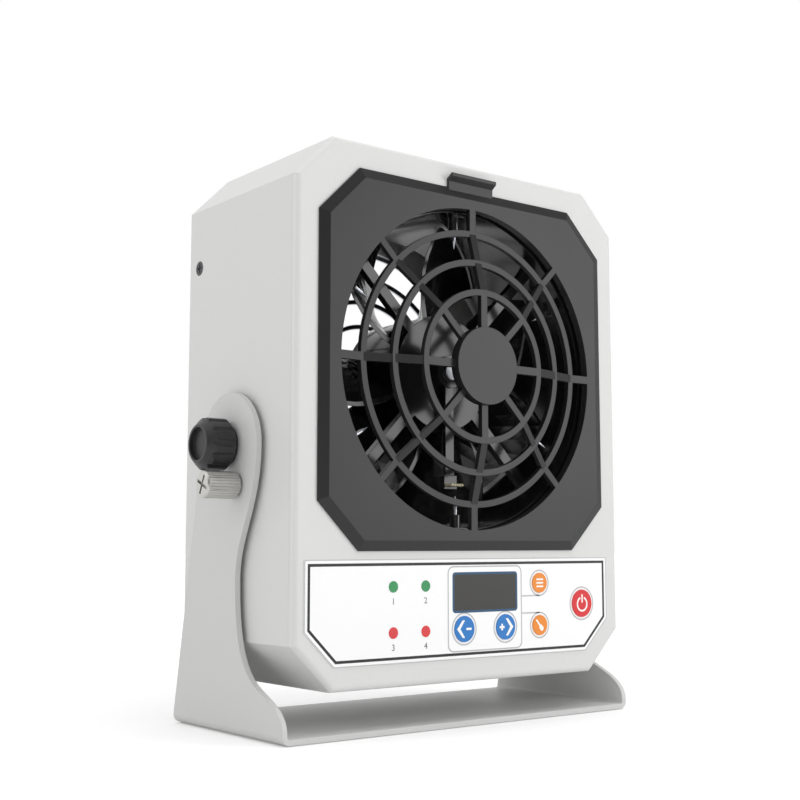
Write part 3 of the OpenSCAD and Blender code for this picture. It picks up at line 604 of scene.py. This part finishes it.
class BLOWER_OT_rings(Operator):
    """Prints a grey ring round each key and the lines that lead to the orange keys"""

    bl_idname = "blower.rings"
    bl_label = "Key rings"

    def execute(self, context):
        dress("minus_key", "plus_key", "menu_key", "brush_key", "power_key")
        ink = context.scene.blower_print
        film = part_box("panel_overlay")[0].y
        frame_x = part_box("display_window")[1].x + ink.group_side
        for key in KEYS:
            place, radius = key_face(key)
            ring = disc(key + "_ring", place.x, film, place.z, radius + ink.ring_gap + ink.hairline)
            outline(ring, 0.0, ink.hairline)
            pieces = [ring]
            if key in ("menu_key", "brush_key"):
                side = -1 if key == "menu_key" else 1
                z = place.z + side * (radius + ink.ring_gap + ink.hairline / 2)
                middle = (frame_x + place.x) / 2
                pieces.append(plate("lead_line", middle, film, z, place.x - frame_x, ink.hairline))
            print_on(key + "_ring", pieces, "grey_ink")
        return {"FINISHED"}


class BLOWER_OT_numerals(Operator):
    """Prints a plain numeral under each lamp"""

    bl_idname = "blower.numerals"
    bl_label = "Numerals"

    def execute(self, context):
        ink = context.scene.blower_print
        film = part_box("panel_overlay")[0].y
        pieces = []
        for row, node in enumerate(("green_lamps", "red_lamps")):
            low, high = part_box(node)
            radius = (high.z - low.z) / 2
            for column, x in enumerate((low.x + radius, high.x - radius)):
                deselect()
                foot = high.z - radius - ink.numeral_drop
                bpy.ops.object.text_add(location=(x, film, foot), rotation=FACING_FRONT)
                text = context.object
                text.data.body = str(1 + 2 * row + column)
                text.data.align_x = "CENTER"
                text.data.size = ink.numeral
                text.data.resolution_u = 4
                bpy.ops.object.convert(target="MESH")
                bpy.ops.object.transform_apply()
                pieces.append(context.object)
        print_on("lamp_numerals", pieces, "numeral_ink")
        return {"FINISHED"}


class BLOWER_OT_symbols(Operator):
    """Prints the symbols on the keys"""

    bl_idname = "blower.symbols"
    bl_label = "Key symbols"

    def execute(self, context):
        for side, key in ((-1, "minus_key"), (1, "plus_key")):
            place, radius = key_face(key)
            arrow_x = place.x + side * 0.1 * radius
            arrow = plate("arrow", arrow_x, place.y, place.z, 0.34 * radius, 1.36 * radius)
            bpy.ops.object.mode_set(mode="EDIT")
            bpy.ops.mesh.subdivide(number_cuts=1)
            select_where(arrow, "verts", lambda v: abs(v.z - place.z) < 0.01 * radius)
            bpy.ops.transform.translate(value=(side * 0.52 * radius, 0, 0))
            select_where(arrow, "verts", lambda v: abs(v.z - place.z) > 0.1 * radius)
            bpy.ops.transform.resize(value=(0.7, 1, 1), center_override=(arrow_x, place.y, place.z))
            bpy.ops.object.mode_set(mode="OBJECT")
            centre_x = place.x - side * 0.42 * radius
            span = 0.52 * radius
            sign = plate("sign", centre_x, place.y, place.z, span, span)
            bpy.ops.object.mode_set(mode="EDIT")
            bpy.ops.mesh.subdivide(number_cuts=2)
            half_bar = span / 6
            if key == "minus_key":
                select_where(sign, "faces", lambda v: abs(v.z - place.z) > half_bar)
            else:
                select_where(
                    sign, "faces", lambda v: abs(v.z - place.z) > half_bar and abs(v.x - centre_x) > half_bar
                )
            bpy.ops.mesh.delete(type="FACE")
            bpy.ops.object.mode_set(mode="OBJECT")
            print_on(key + "_symbol", [arrow, sign], "symbol_white", key)
        self.menu(context)
        self.brush(context)
        self.power(context)
        return {"FINISHED"}

    def menu(self, context):
        place, radius = key_face("menu_key")
        bars = [
            plate("bar", place.x, place.y, place.z + up * 0.36 * radius, 0.95 * radius, 0.17 * radius)
            for up in (-1, 0, 1)
        ]
        print_on("menu_key_symbol", bars, "symbol_white", "menu_key")

    def brush(self, context):
        place, radius = key_face("brush_key")
        axis = place.x - 0.26 * radius
        handle = plate("handle", axis, place.y, place.z + 0.34 * radius, 0.2 * radius, 0.78 * radius)
        tuft = plate("tuft", axis, place.y, place.z - 0.36 * radius, 0.46 * radius, 0.62 * radius)
        cut_corners(tuft, 0.14 * radius, 3)
        for piece in (handle, tuft):
            thicken(piece, context.scene.blower_print.film)
        symbol = join("brush_key_symbol", [handle, tuft])
        bpy.ops.object.mode_set(mode="EDIT")
        bpy.ops.mesh.select_all(action="SELECT")
        bpy.ops.transform.rotate(value=math.radians(40), orient_axis="Y",
                                 center_override=(axis, place.y, place.z))
        bpy.ops.transform.translate(value=(0.2 * radius, 0, 0))
        bpy.ops.object.mode_set(mode="OBJECT")
        finish_piece(symbol, "symbol_white", "brush_key")

    def power(self, context):
        place, radius = key_face("power_key")
        ring = disc("ring", place.x, place.y, place.z - 0.05 * radius, 0.56 * radius)
        outline(ring, 0.0, 0.13 * radius)
        bpy.ops.object.mode_set(mode="EDIT")
        select_where(ring, "faces", lambda v: v.z > place.z and abs(v.x - place.x) < 0.2 * radius)
        bpy.ops.mesh.delete(type="FACE")
        bpy.ops.object.mode_set(mode="OBJECT")
        bar = plate("bar", place.x, place.y, place.z + 0.36 * radius, 0.13 * radius, 0.62 * radius)
        print_on("power_key_symbol", [ring, bar], "symbol_white", "power_key")


class BLOWER_OT_stage(Operator):
    """Sets the pale floor, the soft light and the camera"""

    bl_idname = "blower.stage"
    bl_label = "Stage"

    def execute(self, context):
        stage = context.scene.blower_stage
        deselect()
        bpy.ops.mesh.primitive_plane_add(size=stage.floor_span, location=(0, 0, -FLOOR_DROP))
        floor = context.object
        floor.name = "floor"
        floor.data.materials.append(self.floor_material())
        self.world(context, stage.ambient)
        for lamp in LAMPS:
            self.lamp(*lamp)
        deselect()
        bpy.ops.object.camera_add(location=stage.eye, rotation=(math.pi / 2 + stage.pitch, 0, -stage.yaw))
        camera = context.object
        camera.data.lens = stage.lens
        camera.data.sensor_width = SENSOR_WIDTH
        context.scene.camera = camera
        context.scene.view_settings.view_transform = "Standard"
        return {"FINISHED"}

    def lamp(self, name, place, target, size, power):
        deselect()
        turn = (Vector(target) - Vector(place)).to_track_quat("-Z", "Y").to_euler()
        bpy.ops.object.light_add(type="AREA", location=place, rotation=turn)
        light = bpy.context.object
        light.name = name
        light.data.shape = "SQUARE"
        light.data.size = size
        light.data.energy = power

    def floor_material(self):
        """A pale floor that shows white to the camera and keeps the shadow."""
        material = bpy.data.materials.new("Pale floor")
        material.use_nodes = True
        tree = material.node_tree
        shader = tree.nodes["Principled BSDF"]
        shader.inputs["Base Color"].default_value = (0.86, 0.86, 0.86, 1)
        shader.inputs["Roughness"].default_value = 0.9
        shader.inputs["Specular IOR Level"].default_value = 0.1
        light_path = tree.nodes.new("ShaderNodeLightPath")
        place = tree.nodes.new("ShaderNodeTexCoord")
        distance = tree.nodes.new("ShaderNodeVectorMath")
        distance.operation = "LENGTH"
        tree.links.new(place.outputs["Object"], distance.inputs[0])
        fade = tree.nodes.new("ShaderNodeMapRange")
        for socket, value in (("From Min", 0.25), ("From Max", 1.6), ("To Min", 0.22), ("To Max", 0.6)):
            fade.inputs[socket].default_value = value
        tree.links.new(distance.outputs["Value"], fade.inputs["Value"])
        glow = maths(tree, "MULTIPLY", light_path.outputs["Is Camera Ray"], fade.outputs["Result"])
        shader.inputs["Emission Color"].default_value = (1, 1, 1, 1)
        tree.links.new(glow, shader.inputs["Emission Strength"])
        return material

    def world(self, context, ambient):
        """An even light from all round, white where the camera, glass or a mirror looks past the object."""
        world = context.scene.world or bpy.data.worlds.new("Studio")
        context.scene.world = world
        world.use_nodes = True
        tree = world.node_tree
        tree.nodes.clear()
        place = tree.nodes.new("ShaderNodeTexCoord")
        axes = tree.nodes.new("ShaderNodeSeparateXYZ")
        tree.links.new(place.outputs["Generated"], axes.inputs[0])
        behind = tree.nodes.new("ShaderNodeMapRange")
        behind.inputs["From Min"].default_value = -0.35
        behind.inputs["From Max"].default_value = 0.25
        behind.inputs["To Min"].default_value = 0.12
        behind.inputs["To Max"].default_value = 1.0
        tree.links.new(axes.outputs["Y"], behind.inputs["Value"])
        rays = tree.nodes.new("ShaderNodeLightPath")
        mirror = maths(tree, "MULTIPLY", rays.outputs["Is Glossy Ray"], behind.outputs["Result"])
        seen = maths(tree, "MAXIMUM", rays.outputs["Is Camera Ray"], rays.outputs["Is Transmission Ray"])
        direct = maths(tree, "MAXIMUM", seen, mirror)
        soft = maths(tree, "MULTIPLY", rays.outputs["Is Diffuse Ray"], ambient)
        background = tree.nodes.new("ShaderNodeBackground")
        tree.links.new(maths(tree, "MAXIMUM", direct, soft), background.inputs["Strength"])
        output = tree.nodes.new("ShaderNodeOutputWorld")
        tree.links.new(background.outputs[0], output.inputs[0])
        background.inputs["Color"].default_value = (1, 1, 1, 1)


OPERATORS = (
    BLOWER_OT_stage,
    BLOWER_OT_stand,
    BLOWER_OT_case,
    BLOWER_OT_grille,
    BLOWER_OT_fan,
    BLOWER_OT_electronics,
    BLOWER_OT_film,
    BLOWER_OT_rings,
    BLOWER_OT_numerals,
    BLOWER_OT_symbols,
)
SETTINGS = {"blower_print": BlowerPrint, "blower_colours": BlowerColours, "blower_stage": BlowerStage}


class BLOWER_PT_panel(Panel):
    """Lists the steps that dress the blower"""

    bl_label = "Ionizing Blower"
    bl_idname = "BLOWER_PT_panel"
    bl_space_type = "VIEW_3D"
    bl_region_type = "UI"
    bl_category = "Blower"

    def draw(self, context):
        for operator in OPERATORS:
            self.layout.operator(operator.bl_idname)
        for name in SETTINGS:
            box = self.layout.box()
            settings = getattr(context.scene, name)
            for prop in settings.__annotations__:
                box.prop(settings, prop)


def register():
    for cls in (*SETTINGS.values(), *OPERATORS, BLOWER_PT_panel):
        bpy.utils.register_class(cls)
    for name, cls in SETTINGS.items():
        setattr(bpy.types.Scene, name, PointerProperty(type=cls))


def unregister():
    for name in SETTINGS:
        delattr(bpy.types.Scene, name)
    for cls in (BLOWER_PT_panel, *reversed(OPERATORS), *reversed(SETTINGS.values())):
        bpy.utils.unregister_class(cls)


def main():
    register()
    for operator in OPERATORS:
        group, name = operator.bl_idname.split(".")
        getattr(getattr(bpy.ops, group), name)()


if __name__ == "__main__":
    main()
